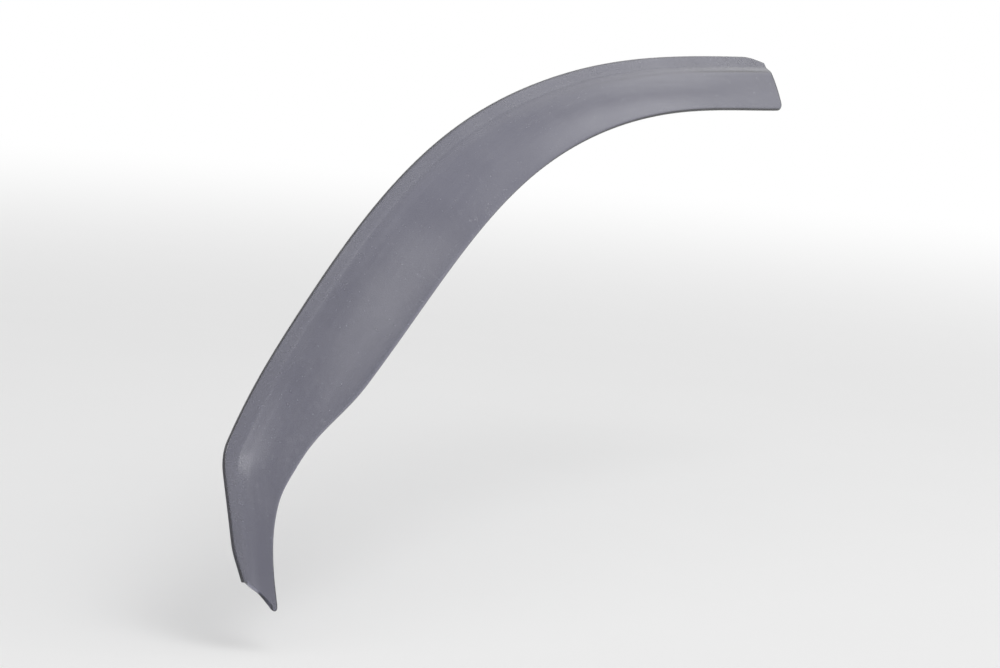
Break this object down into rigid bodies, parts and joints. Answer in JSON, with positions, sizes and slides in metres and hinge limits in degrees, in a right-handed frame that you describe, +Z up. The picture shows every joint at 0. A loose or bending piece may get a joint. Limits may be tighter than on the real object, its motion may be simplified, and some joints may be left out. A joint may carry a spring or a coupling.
{
  "type": "window rain deflector",
  "caption": "Curved smoked acrylic rain deflector that tucks into the window channel of a car's left front door and shades the gap above the glass.",
  "frame": {"origin": "on the outer face of the door glass, at the corner where the bend line of the pillar run meets the bend line of the divider post", "axes": "+X towards the rear of the car, +Y inboard, +Z up, as the deflector stands when fitted"},
  "size_m": [0.8061, 0.1524, 0.3167],
  "materials": {
    "smoked_acrylic": "glossy smoke-tinted clear acrylic"
  },
  "bodies": {
    "root": {"deflector": "smoked_acrylic"}
  },
  "joints": []
}
